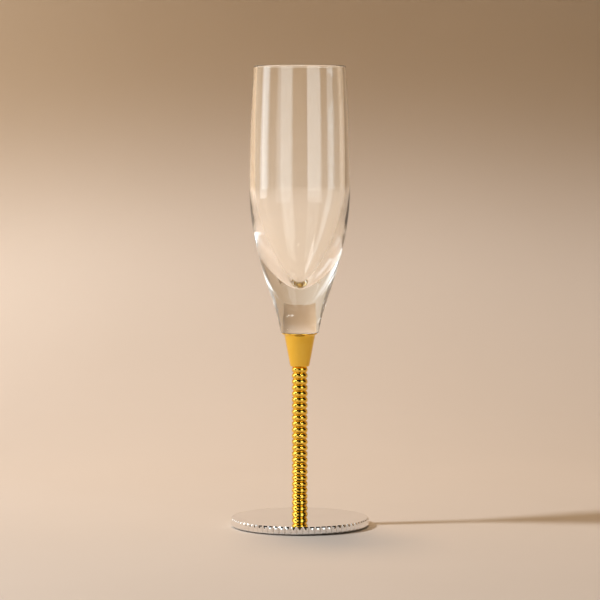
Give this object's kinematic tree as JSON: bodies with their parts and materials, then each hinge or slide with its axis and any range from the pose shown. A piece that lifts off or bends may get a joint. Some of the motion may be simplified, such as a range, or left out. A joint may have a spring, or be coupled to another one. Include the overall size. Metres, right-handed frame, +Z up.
{
  "type": "champagne flute",
  "caption": "Tall drinking glass for sparkling wine: a slim clear bowl with a thick foot, on a gilt ring-stack stem over a round reeded silver base.",
  "frame": {"origin": "on the table, at the middle of the underside", "axes": "+Z up the stem towards the rim; the flute is round about Z"},
  "size_m": [0.07, 0.07, 0.232],
  "materials": {
    "glass": "clear, fire-polished",
    "adhesive": "clear cured adhesive",
    "gold": "polished gold plate",
    "silver": "polished silver plate",
    "steel": "zinc-plated",
    "pad": "matt"
  },
  "bodies": {
    "root": {"bowl": "glass", "bond_film": "adhesive", "collar": "gold", "tie_rod": "steel", "stem_ring_01": "gold", "stem_ring_02": "gold", "stem_ring_03": "gold", "stem_ring_04": "gold", "stem_ring_05": "gold", "stem_ring_06": "gold", "stem_ring_07": "gold", "stem_ring_08": "gold", "stem_ring_09": "gold", "stem_ring_10": "gold", "stem_ring_11": "gold", "stem_ring_12": "gold", "stem_ring_13": "gold", "stem_ring_14": "gold", "stem_ring_15": "gold", "stem_ring_16": "gold", "stem_ring_17": "gold", "stem_ring_18": "gold", "stem_ring_19": "gold", "stem_ring_20": "gold", "stem_ring_21": "gold", "stem_ring_22": "gold", "stem_ring_23": "gold", "stem_ring_24": "gold", "stem_ring_25": "gold", "base": "silver", "washer": "steel", "clamp_nut": "steel", "base_pad": "pad"}
  },
  "joints": []
}
